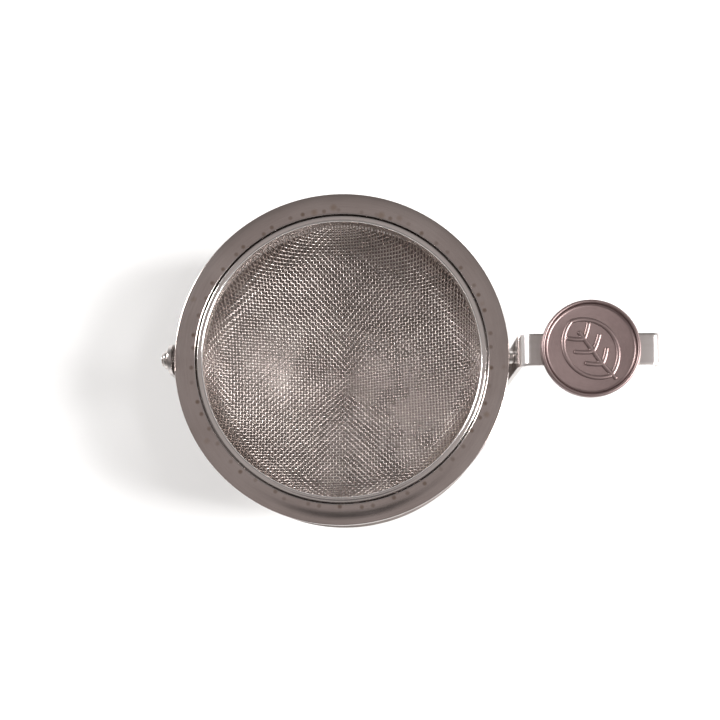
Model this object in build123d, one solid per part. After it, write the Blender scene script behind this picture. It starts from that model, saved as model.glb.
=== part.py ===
from build123d import *
import os
from math import cos, radians, sin, sqrt, tan

# Swivelling tea infuser with a drip bowl. Millimetres.
# Origin: centre of the drip bowl's flat base, on the table.
# +Z is up, +X points along the handle, and the swivel axis runs along X at pivot_height.
# A pressed drip bowl carries two upright arms; the right one goes on as the handle.
# Between the arms a mesh basket with a broad flat rim swings on two short pins.

# ---- driving dimensions: basket ----
rim_outer_r = 33.0        # outside of the flat rim
rim_width = 4.1           # width of the flat rim's face
rim_depth = 3.0           # face of the rim to the back of the rim
rim_sheet = 0.7           # sheet of the face ring and of the back ring
edge_band_wall = 0.6      # strip that closes the rim's outer edge
edge_soften = 0.2         # softened sheet edges

collar_gap = 0.3          # dark gap between the rim's face and the collar's bead
bead_width = 1.2          # rolled bead inside the rim
bead_below_face = 0.2     # the bead's top lies this far under the rim's face
collar_skirt_wall = 0.4   # skirt that lines the mesh's neck
collar_skirt_drop = 1.8   # how far the skirt reaches below the bead

mesh_thickness = 0.5      # two crossing wires
mesh_tip_slope = 28.0     # degrees, slope of the mesh's cone
mesh_shoulder_r = 10.0    # outside radius of the bend from the cone up to the neck
mesh_tip_r = 4.0          # rounding of the very tip
mesh_neck_drop = 2.3      # straight neck below the flange's underside
mesh_flange_width = 2.1   # mesh turned out under the rim's face

neck_band_wall = 0.5      # band round the mesh's neck
neck_band_clearance = 0.01
neck_band_height = 1.4

# ---- driving dimensions: pivots ----
pin_r = 0.5
pin_running_clearance = 0.05
pin_head_r = 1.3
pin_head_length = 0.5
block_length = 1.7        # block between the rim's rings, which holds a pin
block_width = 3.2
block_setback = 0.1       # block to the edge band
left_arm_gap = 0.35       # rim to the left arm
right_arm_gap = 1.0       # rim to the right arm, filled by the spacer
axial_play = 0.1
spacer_r = 1.25
washer_r = 1.4
washer_thickness = 0.25
collar_nut_r = 1.85
collar_nut_length = 0.7
pin_neck_length = 0.2     # pin seen between the collar nut and the pin's head

# ---- driving dimensions: drip bowl, arms and handle ----
swing_clearance = 1.4     # rim's swing to the drip bowl's floor
bowl_wall = 0.6
bowl_height = 21.0
bowl_base_r = 14.0
lip_overhang = 0.2        # lip beyond the rim above it
lip_width = 1.6           # lip beyond the outside of the bowl's wall
lip_soften = 0.25

arm_width = 6.0
left_arm_sheet = 0.7
strap_sheet = 0.8
foot_wall_gap = 0.2       # end of an arm's foot to the bowl's wall
strap_rise = 7.5          # top of the handle above the swivel axis
handle_length = 26.9      # inner face of the right arm to the handle's outermost point
strap_bend_r = 2.4        # middle line of the bend at the arm
tip_bend_r = 1.7          # middle line of the bend at the handle's tip
tip_drop = 3.6            # turned-down tip below the handle's top

disc_r = 9.25
disc_distance = 13.3      # inner face of the right arm to the disc's centre
disc_sheet = 0.6
disc_rim_width = 0.8
disc_rim_height = 0.6
emblem_stroke = 0.9
emblem_height = 0.3
leaf_length = 12.0
leaf_width = 8.4
leaf_turn = 35.0          # degrees, leaf's long axis from the handle's cross direction
vein_reach = 2.6
vein_spacing = 2.7

# ---- worked out from the driving dimensions ----
pivot_height = rim_outer_r + swing_clearance + bowl_wall
half_rim = rim_depth / 2
rim_inner_r = rim_outer_r - rim_width
bead_outer_r = rim_inner_r - collar_gap
bead_inner_r = bead_outer_r - bead_width
neck_inner_r = bead_inner_r + collar_skirt_wall
neck_outer_r = neck_inner_r + mesh_thickness
sheet_gap = half_rim - rim_sheet
block_outer_x = sqrt((rim_outer_r - edge_band_wall) ** 2 - (block_width / 2) ** 2) - block_setback
block_inner_x = block_outer_x - block_length
left_arm_x = rim_outer_r + left_arm_gap
right_arm_x = rim_outer_r + right_arm_gap
lip_outer_r = rim_outer_r + lip_overhang
bowl_mouth_r = lip_outer_r - lip_width
bowl_centre_z = (bowl_mouth_r ** 2 + (bowl_height - bowl_wall) ** 2 - bowl_base_r ** 2) / (
    2 * (bowl_height - bowl_wall)
)
bowl_sphere_r = sqrt(bowl_base_r ** 2 + bowl_centre_z ** 2)
strap_top_z = pivot_height + strap_rise
strap_reach = right_arm_x + handle_length
disc_centre_x = right_arm_x + disc_distance


def ring(inner_r, outer_r, low, high, soften=0.0):
    """Flat ring about the vertical axis, heights measured from the swivel axis."""
    height = high - low
    body = Cylinder(outer_r, height) - Cylinder(inner_r, height)
    if soften:
        body = fillet(body.edges().filter_by(GeomType.CIRCLE), soften)
    return Pos(0, 0, pivot_height + (low + high) / 2) * body


def rod(radius, start_x, end_x):
    """Round bar along the swivel axis."""
    length = abs(end_x - start_x)
    return Pos((start_x + end_x) / 2, 0, pivot_height) * Rot(0, 90, 0) * Cylinder(radius, length)


def revolved(points_and_arcs):
    """Solid of revolution about the vertical axis from a closed outline in the XZ plane."""
    outline = make_face(Wire(points_and_arcs))
    return revolve(outline, Axis.Z)


def at(radius, height):
    """Point of an outline in the XZ plane."""
    return Vector(radius, 0, height)


# ---- basket ----

def make_rim_face_ring():
    return ring(rim_inner_r, rim_outer_r, sheet_gap, half_rim, edge_soften)


def make_rim_back_ring():
    inner_r = neck_outer_r + edge_soften
    return ring(inner_r, rim_outer_r, -half_rim, -sheet_gap, edge_soften)


def make_rim_edge_band():
    band = ring(rim_outer_r - edge_band_wall, rim_outer_r, -sheet_gap, sheet_gap)
    hole = rod(pin_r + pin_running_clearance, -rim_outer_r - 1, rim_outer_r + 1)
    return band - hole


def make_collar_ring():
    """Rolled bead that shows inside the rim, with the skirt that lines the mesh's neck."""
    top = half_rim - bead_below_face
    bead = ring(bead_inner_r, bead_outer_r, sheet_gap, top, (top - sheet_gap) * 0.45)
    middle = (sheet_gap + top) / 2
    skirt = ring(bead_inner_r, neck_inner_r, sheet_gap - collar_skirt_drop, middle)
    return bead + skirt


def mesh_outline(offset):
    """Half-profile of the mesh's pointed bowl, from neck to tip, moved inwards by offset."""
    slope = radians(mesh_tip_slope)
    tip_r = mesh_tip_r - offset
    bend_r = mesh_shoulder_r - offset
    bend_x = neck_outer_r - mesh_shoulder_r
    bend_z = pivot_height + sheet_gap - mesh_thickness - mesh_neck_drop

    def on_bend(angle):
        return at(bend_x + bend_r * sin(angle), bend_z - bend_r * cos(angle))

    neck_end = at(neck_outer_r - offset, bend_z)
    cone_start = on_bend(slope)
    cone_end_r = tip_r * sin(slope)
    cone_end = at(cone_end_r, cone_start.Z - (cone_start.X - cone_end_r) * tan(slope))
    tip_centre_z = cone_end.Z + tip_r * cos(slope)
    tip_middle = at(tip_r * sin(slope / 2), tip_centre_z - tip_r * cos(slope / 2))
    tip = at(0, tip_centre_z - tip_r)
    edges = [
        ThreePointArc(neck_end, on_bend((radians(90) + slope) / 2), cone_start),
        Line(cone_start, cone_end),
        ThreePointArc(cone_end, tip_middle, tip),
    ]
    return neck_end, edges, tip


def make_mesh_bowl():
    outer_neck, outer_edges, outer_tip = mesh_outline(0.0)
    inner_neck, inner_edges, inner_tip = mesh_outline(mesh_thickness)
    flange_top = pivot_height + sheet_gap
    flange_low = flange_top - mesh_thickness
    flange_r = neck_outer_r + mesh_flange_width
    corners = [
        outer_neck,
        at(neck_outer_r, flange_low),
        at(flange_r, flange_low),
        at(flange_r, flange_top),
        at(neck_inner_r, flange_top),
        inner_neck,
    ]
    straight = [Line(a, b) for a, b in zip(corners, corners[1:])]
    return revolved(straight + inner_edges + [Line(inner_tip, outer_tip)] + outer_edges)


def make_neck_band():
    low = -half_rim - neck_band_height
    inner_r = neck_outer_r + neck_band_clearance
    return ring(inner_r, inner_r + neck_band_wall, low, -half_rim, edge_soften / 2)


def make_pin_block(side):
    middle_x = side * (block_inner_x + block_outer_x) / 2
    block = Pos(middle_x, 0, pivot_height) * Box(block_length, block_width, 2 * sheet_gap)
    return block - rod(pin_r, side * (block_inner_x - 1), side * (block_outer_x + 1))


def make_pin(side, head_start_x):
    """Pin from the block out to its head; the head's outer edge is softened."""
    shaft = rod(pin_r, side * block_inner_x, side * head_start_x)
    head = rod(pin_head_r, side * head_start_x, side * (head_start_x + pin_head_length))
    rims = head.edges().filter_by(GeomType.CIRCLE).sort_by(Axis.X)
    outer_edge = rims[-1] if side > 0 else rims[0]
    return shaft + fillet(outer_edge, edge_soften)


left_arm_outer_x = left_arm_x + left_arm_sheet
washer_start_x = left_arm_outer_x + axial_play
nut_start_x = washer_start_x + washer_thickness
left_head_x = nut_start_x + collar_nut_length + pin_neck_length
right_head_x = right_arm_x + strap_sheet + axial_play


def make_left_washer():
    body = rod(washer_r, -washer_start_x, -nut_start_x)
    return body - rod(pin_r, -washer_start_x + 1, -nut_start_x - 1)


def make_left_collar_nut():
    end_x = nut_start_x + collar_nut_length
    body = rod(collar_nut_r, -nut_start_x, -end_x)
    body = fillet(body.edges().filter_by(GeomType.CIRCLE), edge_soften)
    return body - rod(pin_r, -nut_start_x + 1, -end_x - 1)


def make_right_spacer():
    end_x = right_arm_x - axial_play
    return rod(spacer_r, rim_outer_r, end_x) - rod(pin_r, rim_outer_r - 1, end_x + 1)


# ---- stand: drip bowl, arms and handle ----

def make_drip_bowl():
    lip_low = bowl_height - bowl_wall
    inner_r = bowl_sphere_r - bowl_wall

    def wall_point(sphere_r, height):
        return at(sqrt(sphere_r ** 2 - (bowl_centre_z - height) ** 2), height)

    middle_z = bowl_height / 3
    base_out = at(bowl_base_r, 0)
    mouth_out = at(bowl_mouth_r, lip_low)
    mouth_in = wall_point(inner_r, bowl_height)
    base_in = wall_point(inner_r, bowl_wall)
    outline = [
        Line(at(0, 0), base_out),
        ThreePointArc(base_out, wall_point(bowl_sphere_r, middle_z), mouth_out),
        Line(mouth_out, at(lip_outer_r, lip_low)),
        Line(at(lip_outer_r, lip_low), at(lip_outer_r, bowl_height)),
        Line(at(lip_outer_r, bowl_height), mouth_in),
        ThreePointArc(mouth_in, wall_point(inner_r, middle_z), base_in),
        Line(base_in, at(0, bowl_wall)),
        Line(at(0, bowl_wall), at(0, 0)),
    ]
    bowl = revolved(outline)
    circles = bowl.edges().filter_by(GeomType.CIRCLE)
    lip_edges = circles.filter_by(lambda e: abs(e.radius - lip_outer_r) < 0.01)
    bowl = fillet(lip_edges, lip_soften)
    base_edge = bowl.edges().filter_by(GeomType.CIRCLE).sort_by(Axis.Z)[0]
    return fillet(base_edge, bowl_wall)


def foot_end_x():
    """Inner end of an arm's foot, just clear of the bowl's wall."""
    foot_low = bowl_height - bowl_wall - strap_sheet
    half_chord = arm_width / 2
    wall_r = sqrt(bowl_sphere_r ** 2 - (bowl_centre_z - foot_low) ** 2)
    return max(wall_r, bowl_mouth_r) + foot_wall_gap - (wall_r - sqrt(wall_r ** 2 - half_chord ** 2))


def make_left_arm():
    outer_x = left_arm_outer_x
    foot_top = bowl_height - bowl_wall
    foot_low = foot_top - left_arm_sheet
    middle_x = -(left_arm_x + outer_x) / 2
    plate_height = pivot_height - foot_low
    plate = Pos(middle_x, 0, foot_low + plate_height / 2) * Box(left_arm_sheet, arm_width, plate_height)
    round_top = rod(arm_width / 2, -left_arm_x, -outer_x)
    foot_length = outer_x - foot_end_x()
    foot_x = -(outer_x + foot_end_x()) / 2
    foot = Pos(foot_x, 0, (foot_top + foot_low) / 2) * Box(foot_length, arm_width, left_arm_sheet)
    arm = plate + round_top + foot
    heel = arm.edges().filter_by(Axis.Y).sort_by(lambda e: e.center().X + e.center().Z)[0]
    arm = fillet(heel, left_arm_sheet * 0.8)
    return arm - rod(pin_r + pin_running_clearance, -left_arm_x + 1, -outer_x - 1)


def make_handle_strap():
    """One strip: foot under the lip, upright arm past the pivot, handle, turned-down tip."""
    half = strap_sheet / 2
    foot_z = bowl_height - bowl_wall - half
    arm_middle_x = right_arm_x + half
    top_z = strap_top_z - half
    tip_x = strap_reach - half
    route = FilletPolyline(
        at(foot_end_x(), foot_z),
        at(arm_middle_x, foot_z),
        at(arm_middle_x, top_z),
        at(tip_x, top_z),
        at(tip_x, strap_top_z - tip_drop),
        radius=[half + 0.05, strap_bend_r, tip_bend_r],
    )
    start = Plane(origin=route @ 0, x_dir=(0, 1, 0), z_dir=route % 0)
    section = start * Rectangle(arm_width, strap_sheet)
    strip = sweep(section, path=route)
    tip_corners = strip.edges().filter_by(Axis.X).sort_by(Axis.X)[-4:]
    low_corners = tip_corners.sort_by(Axis.Z)[:2]
    strip = fillet(low_corners, arm_width / 5)
    return strip - rod(pin_r + pin_running_clearance, right_arm_x - 1, right_arm_x + strap_sheet + 1)


def make_thumb_disc():
    """Dished disc with a raised edge and a plain tea leaf in relief."""
    low = strap_top_z
    floor = low + disc_sheet
    top = floor + disc_rim_height
    body = Pos(0, 0, (low + top) / 2) * Cylinder(disc_r, top - low)
    well = Pos(0, 0, (floor + top) / 2) * Cylinder(disc_r - disc_rim_width, top - floor)
    body = body - well
    crest = body.edges().filter_by(GeomType.CIRCLE).group_by(Axis.Z)[-1]
    body = fillet(crest, disc_rim_width * 0.4)
    disc = Pos(disc_centre_x, 0, 0) * (body + make_leaf(floor))
    return disc


def make_leaf(floor):
    """Leaf outline, midrib and side veins as raised strokes standing on the disc's floor."""
    half = leaf_length / 2
    side = leaf_width / 2
    lines = [
        ThreePointArc((0, half), (side, 0), (0, -half)),
        ThreePointArc((0, half), (-side, 0), (0, -half)),
        Line((0, half * 0.8), (0, -half - emblem_stroke)),
    ]
    for step in (-1, 0, 1):
        root_y = step * vein_spacing - emblem_stroke
        for mirror in (-1, 1):
            lines.append(Line((0, root_y), (mirror * vein_reach, root_y + vein_reach * 0.7)))
    strokes = trace(lines, line_width=emblem_stroke * 0.7)
    solid = extrude(Rot(0, 0, leaf_turn) * strokes, amount=emblem_height)
    return Pos(0, 0, floor) * solid


parts = {
    "rim_face_ring": make_rim_face_ring(),
    "rim_back_ring": make_rim_back_ring(),
    "rim_edge_band": make_rim_edge_band(),
    "collar_ring": make_collar_ring(),
    "mesh_bowl": make_mesh_bowl(),
    "neck_band": make_neck_band(),
    "left_pin_block": make_pin_block(-1),
    "right_pin_block": make_pin_block(1),
    "left_pivot_pin": make_pin(-1, left_head_x),
    "right_pivot_pin": make_pin(1, right_head_x),
    "left_washer": make_left_washer(),
    "left_collar_nut": make_left_collar_nut(),
    "right_spacer": make_right_spacer(),
    "drip_bowl": make_drip_bowl(),
    "left_arm": make_left_arm(),
    "handle_strap": make_handle_strap(),
    "thumb_disc": make_thumb_disc(),
}

os.makedirs("parts", exist_ok=True)
for name, shape in parts.items():
    export_step(shape, f"parts/{name}.step")
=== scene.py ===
"""Looks of the swivelling tea infuser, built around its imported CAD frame.

A woven mesh basket with a broad flat rim swings on two pins between the arms of a drip bowl.
Every shape is in metres, in the CAD model's own frame: +X along the handle, +Z up.
"""

from __future__ import annotations

import logging
import math
from dataclasses import dataclass, field
from enum import Enum

import bmesh
import bpy
import numpy as np
from mathutils import Matrix, Vector

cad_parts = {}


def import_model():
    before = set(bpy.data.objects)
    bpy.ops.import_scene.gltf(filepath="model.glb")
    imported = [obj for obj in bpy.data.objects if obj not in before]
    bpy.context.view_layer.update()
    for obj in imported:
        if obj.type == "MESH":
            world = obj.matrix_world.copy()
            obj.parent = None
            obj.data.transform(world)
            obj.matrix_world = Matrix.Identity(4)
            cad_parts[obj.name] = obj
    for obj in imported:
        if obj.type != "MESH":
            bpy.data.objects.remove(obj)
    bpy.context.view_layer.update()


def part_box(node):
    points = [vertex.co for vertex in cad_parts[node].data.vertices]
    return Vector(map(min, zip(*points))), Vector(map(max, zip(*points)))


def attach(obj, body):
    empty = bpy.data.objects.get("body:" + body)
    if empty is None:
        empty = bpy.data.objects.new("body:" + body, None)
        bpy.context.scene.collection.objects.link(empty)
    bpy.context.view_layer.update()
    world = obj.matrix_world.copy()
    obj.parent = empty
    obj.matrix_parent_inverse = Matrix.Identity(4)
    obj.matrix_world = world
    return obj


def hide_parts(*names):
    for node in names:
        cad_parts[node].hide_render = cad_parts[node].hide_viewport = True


MM = 0.001
LATHE_STEPS = 240
SMALL_LATHE_STEPS = 64
DRILL_SIDES = 48
MERGE_DISTANCE = 0.002 * MM
STRIP_EDGE = 0.12 * MM
STRIP_EDGE_SHARE = 0.25
STRIP_EDGE_ANGLE = 50.0
CORNER_SHARE = 0.49
TINY = 1e-9
log = logging.getLogger("tea_infuser")

Point2 = tuple[float, float]
Point3 = tuple[float, float, float]
Colour = tuple[float, float, float]
Socket = bpy.types.NodeSocket


# ---------------------------------------------------------------- finishes


class Grain(Enum):
    """How a steel surface was worked."""

    ROUND = "turned or spun about the vertical axis"
    LONG = "brushed along the handle"
    DRAWN = "drawn wire"
    POLISHED = "polished"


GRAIN_STRETCH: dict[Grain, tuple[float, float, float]] = {
    Grain.LONG: (12.0, 1.0, 1.0),
    Grain.DRAWN: (3.0, 3.0, 1.0),
    Grain.POLISHED: (1.0, 1.0, 1.0),
}


@dataclass(frozen=True)
class NodeGraph:
    """Adds nodes to one node tree and links them."""

    tree: bpy.types.NodeTree

    def add(self, kind: str) -> bpy.types.Node:
        """Add a node of the type that Blender calls by this name."""
        return self.tree.nodes.new(kind)

    def link(self, source: Socket, target: Socket) -> None:
        """Link an output socket to an input socket."""
        self.tree.links.new(source, target)

    def feed(self, target: Socket, value: Socket | float) -> None:
        """Link a socket to an input, or set the input to a number.

        Args:
            target: The input socket.
            value: An output socket or a number.
        """
        if isinstance(value, (int, float)):
            target.default_value = value
        else:
            self.link(value, target)

    def noise(self, vector: Socket, scale: float, detail: float) -> Socket:
        """Add a noise texture.

        Args:
            vector: Where it is read.
            scale: Its scale.
            detail: Its detail.

        Returns:
            The noise, from 0 to 1.
        """
        noise = self.add("ShaderNodeTexNoise")
        noise.inputs["Scale"].default_value = scale
        noise.inputs["Detail"].default_value = detail
        self.link(vector, noise.inputs["Vector"])
        return noise.outputs["Fac"]

    def calc(self, operation: str, *values: Socket | float) -> Socket:
        """Add a math node.

        Args:
            operation: Blender's name of the operation.
            values: Up to three sockets or numbers.

        Returns:
            The result.
        """
        node = self.add("ShaderNodeMath")
        node.operation = operation
        for target, value in zip(node.inputs, values):
            self.feed(target, value)
        return node.outputs[0]

    def vector(self, *parts: Socket) -> Socket:
        """Join up to three parts into a vector.

        Args:
            parts: The X, Y and Z sockets; parts that are left out are 0.

        Returns:
            The vector.
        """
        node = self.add("ShaderNodeCombineXYZ")
        for target, part in zip(node.inputs, parts):
            self.link(part, target)
        return node.outputs["Vector"]

    def length(self, vector: Socket) -> Socket:
        """Measure a vector.

        Args:
            vector: The vector.

        Returns:
            Its length.
        """
        node = self.add("ShaderNodeVectorMath")
        node.operation = "LENGTH"
        self.link(vector, node.inputs[0])
        return node.outputs["Value"]

    def fade(self, value: Socket, start: float, end: float, top: float = 1.0) -> Socket:
        """Turn a range of values into an amount.

        Args:
            value: The value.
            start: The value that gives 0.
            end: The value that gives the whole amount.
            top: The whole amount.

        Returns:
            The amount, kept between 0 and top.
        """
        node = self.add("ShaderNodeMapRange")
        node.inputs["From Min"].default_value = start
        node.inputs["From Max"].default_value = end
        node.inputs["To Max"].default_value = top
        self.link(value, node.inputs["Value"])
        return node.outputs["Result"]

    def channels(self, colour: Socket) -> tuple[Socket, Socket, Socket]:
        """Split a colour into its red, green and blue.

        Args:
            colour: The colour.

        Returns:
            Its red, green and blue.
        """
        node = self.add("ShaderNodeSeparateColor")
        self.link(colour, node.inputs["Color"])
        return node.outputs["Red"], node.outputs["Green"], node.outputs["Blue"]

    def mixed(self, blend: str, amount: Socket, base: Socket, over: Colour) -> Socket:
        """Mix a plain colour over another.

        Args:
            blend: Blender's name of the blend.
            amount: How much of it shows.
            base: The colour underneath.
            over: The plain colour.

        Returns:
            The mixed colour.
        """
        mix = self.add("ShaderNodeMix")
        mix.data_type = "RGBA"
        mix.blend_type = blend
        self.link(amount, mix.inputs["Factor"])
        self.link(base, mix.inputs["A"])
        mix.inputs["B"].default_value = (*over, 1.0)
        return mix.outputs["Result"]

    def polar(self, vector: Socket) -> tuple[Socket, Socket, Socket]:
        """Split a place into its parts about the vertical axis.

        Args:
            vector: The place.

        Returns:
            The radius in metres, the angle in radians and the height in metres.
        """
        split = self.add("ShaderNodeSeparateXYZ")
        self.link(vector, split.inputs["Vector"])
        radius = self.length(self.vector(split.outputs["X"], split.outputs["Y"]))
        angle = self.calc("ARCTAN2", split.outputs["Y"], split.outputs["X"])
        return radius, angle, split.outputs["Z"]


@dataclass(frozen=True)
class SteelFinish:
    """A stainless steel finish with its grain, stains and small unevenness."""

    name: str
    colour: Colour
    dark: Colour
    roughness: float
    rough_spread: float
    grain: Grain
    grain_scale: float = 900.0
    grain_share: float = 0.45
    bump: float = 0.06
    bump_height: float = 0.02 * MM
    slow_turn: float = 0.002
    fine_detail: float = 3.0
    cloud_scale: float = 90.0
    cloud_detail: float = 4.0
    dark_up_to: float = 0.45
    light_from: float = 0.95
    centre: Point2 = (0.0, 0.0)
    weld_count: int = 0
    weld_radius: float = 0.0
    weld_drift: float = 0.6 * MM
    weld_edge: float = 0.55 * MM
    weld_core: float = 0.22 * MM
    weld_tint: Colour = (0.50, 0.42, 0.34)
    stains: float = 0.0
    stain_scale: float = 240.0
    stain_edge: float = 0.22
    stain_core: float = 0.08
    stain_chance: float = 0.62
    stain_tint: Colour = (0.72, 0.62, 0.50)

    def material(self) -> bpy.types.Material:
        """Build the node material of this finish.

        Returns:
            The new material.
        """
        made = bpy.data.materials.new(self.name)
        made.use_nodes = True
        graph = NodeGraph(made.node_tree)
        shader = made.node_tree.nodes["Principled BSDF"]
        shader.inputs["Metallic"].default_value = 1.0
        spot = self._spot(graph)
        cloud = graph.noise(spot, self.cloud_scale, self.cloud_detail)
        grain = self._grain(graph, spot)
        worn = graph.calc("MULTIPLY_ADD", grain, self.grain_share, cloud)
        graph.link(self._colour(graph, spot, worn), shader.inputs["Base Color"])
        graph.link(self._roughness(graph, worn), shader.inputs["Roughness"])
        graph.link(self._bumps(graph, grain), shader.inputs["Normal"])
        return made

    def _spot(self, graph: NodeGraph) -> Socket:
        """Place on the object, counted from the finish's own centre.

        Args:
            graph: The material's nodes.

        Returns:
            The place in metres.
        """
        coords = graph.add("ShaderNodeTexCoord")
        place = graph.add("ShaderNodeMapping")
        place.inputs["Location"].default_value = (-self.centre[0], -self.centre[1], 0.0)
        graph.link(coords.outputs["Object"], place.inputs["Vector"])
        return place.outputs["Vector"]

    def _colour(self, graph: NodeGraph, spot: Socket, worn: Socket) -> Socket:
        """Steel colour with its unevenness, stains and spot welds.

        Args:
            graph: The material's nodes.
            spot: Place on the object.
            worn: The surface's unevenness.

        Returns:
            The colour.
        """
        ramp = graph.add("ShaderNodeValToRGB")
        low, high = ramp.color_ramp.elements
        low.position, low.color = self.dark_up_to, (*self.dark, 1.0)
        high.position, high.color = self.light_from, (*self.colour, 1.0)
        graph.link(worn, ramp.inputs["Fac"])
        colour = ramp.outputs["Color"]
        if self.stains:
            colour = self._stained(graph, spot, colour)
        if self.weld_count:
            colour = self._welded(graph, spot, colour)
        return colour

    def _roughness(self, graph: NodeGraph, worn: Socket) -> Socket:
        """Roughness that varies with the surface's unevenness.

        Args:
            graph: The material's nodes.
            worn: The surface's unevenness.

        Returns:
            The roughness.
        """
        rough = graph.add("ShaderNodeMapRange")
        rough.inputs["To Min"].default_value = self.roughness - self.rough_spread
        rough.inputs["To Max"].default_value = self.roughness + self.rough_spread
        graph.link(worn, rough.inputs["Value"])
        return rough.outputs["Result"]

    def _bumps(self, graph: NodeGraph, grain: Socket) -> Socket:
        """Shallow relief of the working marks.

        Args:
            graph: The material's nodes.
            grain: The marks' height.

        Returns:
            The surface's normal.
        """
        bump = graph.add("ShaderNodeBump")
        bump.inputs["Strength"].default_value = self.bump
        bump.inputs["Distance"].default_value = self.bump_height
        graph.link(grain, bump.inputs["Height"])
        return bump.outputs["Normal"]

    def _grain(self, graph: NodeGraph, spot: Socket) -> Socket:
        """Fine working marks that follow the grain's direction.

        Args:
            graph: The material's nodes.
            spot: Place on the object.

        Returns:
            The marks' height, from 0 to 1.
        """
        if self.grain is Grain.ROUND:
            radius, angle, height = graph.polar(spot)
            turn = graph.calc("MULTIPLY", angle, self.slow_turn)
            place = graph.vector(radius, height, turn)
            return graph.noise(place, self.grain_scale * 4, self.fine_detail)
        stretch = graph.add("ShaderNodeMapping")
        stretch.vector_type = "TEXTURE"
        stretch.inputs["Scale"].default_value = GRAIN_STRETCH[self.grain]
        graph.link(spot, stretch.inputs["Vector"])
        return graph.noise(stretch.outputs["Vector"], self.grain_scale * 2, self.fine_detail)

    def _stained(self, graph: NodeGraph, spot: Socket, colour: Socket) -> Socket:
        """Faint brownish water stains, a few millimetres apart.

        Args:
            graph: The material's nodes.
            spot: Place on the object.
            colour: The colour underneath.

        Returns:
            The stained colour.
        """
        cells = graph.add("ShaderNodeTexVoronoi")
        cells.inputs["Scale"].default_value = self.stain_scale
        graph.link(spot, cells.inputs["Vector"])
        near = graph.fade(cells.outputs["Distance"], self.stain_edge, self.stain_core, self.stains)
        red, _green, _blue = graph.channels(cells.outputs["Color"])
        chosen = graph.calc("GREATER_THAN", red, self.stain_chance)
        amount = graph.calc("MULTIPLY", near, chosen)
        return graph.mixed("MULTIPLY", amount, colour, self.stain_tint)

    def _welded(self, graph: NodeGraph, spot: Socket, colour: Socket) -> Socket:
        """A ring of small spot welds, unevenly spaced, each slightly browned.

        Args:
            graph: The material's nodes.
            spot: Place on the object.
            colour: The colour underneath.

        Returns:
            The colour with the welds.
        """
        radius, angle, _height = graph.polar(spot)
        step = graph.calc("MULTIPLY", angle, self.weld_count / (2 * math.pi))
        index = graph.calc("FLOOR", step)
        random = graph.add("ShaderNodeTexWhiteNoise")
        random.noise_dimensions = "1D"
        graph.link(index, random.inputs["W"])
        red, green, blue = graph.channels(random.outputs["Color"])
        part = graph.calc("SUBTRACT", step, index)
        shift = graph.calc("MULTIPLY_ADD", red, 0.5, 0.25)
        along = graph.calc("SUBTRACT", part, shift)
        along = graph.calc("MULTIPLY", along, 2 * math.pi * self.weld_radius / self.weld_count)
        drift = graph.calc("MULTIPLY_ADD", green, self.weld_drift, self.weld_radius)
        across = graph.calc("SUBTRACT", radius, drift)
        distance = graph.length(graph.vector(along, across))
        mark = graph.fade(distance, self.weld_edge, self.weld_core)
        depth = graph.calc("MULTIPLY_ADD", blue, 0.6, 0.25)
        amount = graph.calc("MULTIPLY", mark, depth)
        return graph.mixed("MULTIPLY", amount, colour, self.weld_tint)


@dataclass(frozen=True)
class Finishes:
    """All the finishes of the object, built once."""

    rim: bpy.types.Material
    back: bpy.types.Material
    bead: bpy.types.Material
    wire: bpy.types.Material
    pins: bpy.types.Material
    bowl: bpy.types.Material
    strap: bpy.types.Material
    disc: bpy.types.Material

    @classmethod
    def make(cls, disc_x: float) -> "Finishes":
        """Build every finish.

        Args:
            disc_x: Place of the thumb disc's centre along the handle, in metres.

        Returns:
            The finishes.
        """
        rim = SteelFinish("rim_satin", (0.60, 0.54, 0.52), (0.50, 0.44, 0.42), 0.14, 0.03,
                          Grain.ROUND, weld_count=54, weld_radius=29.3 * MM, stains=0.6)
        back = SteelFinish("back_satin", (0.60, 0.56, 0.54), (0.50, 0.46, 0.44), 0.24, 0.05,
                           Grain.ROUND)
        bead = SteelFinish("bead_polish", (0.86, 0.83, 0.81), (0.80, 0.76, 0.74), 0.13, 0.04,
                           Grain.POLISHED)
        wire = SteelFinish("drawn_wire", (0.56, 0.49, 0.46), (0.38, 0.33, 0.31), 0.26, 0.04,
                           Grain.DRAWN, cloud_scale=160.0)
        pins = SteelFinish("pin_steel", (0.72, 0.68, 0.66), (0.60, 0.56, 0.53), 0.2, 0.05,
                           Grain.POLISHED)
        # The bowl's steel is painted much darker than the other steel parts. This is painted shade for
        # the dim inside of the bowl seen through the mesh.
        bowl = SteelFinish("bowl_satin", (0.36, 0.32, 0.30), (0.29, 0.255, 0.24), 0.50, 0.05,
                           Grain.ROUND, bump=0.03)
        strap = SteelFinish("strap_satin", (0.68, 0.64, 0.63), (0.58, 0.54, 0.52), 0.22, 0.05,
                            Grain.LONG)
        disc = SteelFinish("disc_satin", (0.30, 0.225, 0.218), (0.23, 0.17, 0.165), 0.38, 0.05,
                           Grain.ROUND, centre=(disc_x, 0.0), stains=0.3)
        return cls(*(one.material() for one in (rim, back, bead, wire, pins, bowl, strap, disc)))


# ---------------------------------------------------------------- workshop


def arc(centre: Point2, radius: float, start: float, end: float, count: int) -> list[Point2]:
    """Points on a circular arc.

    Args:
        centre: Centre of the circle.
        radius: Radius of the circle.
        start: First angle in degrees, counted from the first axis.
        end: Last angle in degrees.
        count: Number of points, both ends included.

    Returns:
        The points in order.
    """
    angles = (math.radians(start + (end - start) * i / (count - 1)) for i in range(count))
    return [(centre[0] + radius * math.cos(a), centre[1] + radius * math.sin(a)) for a in angles]


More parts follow.
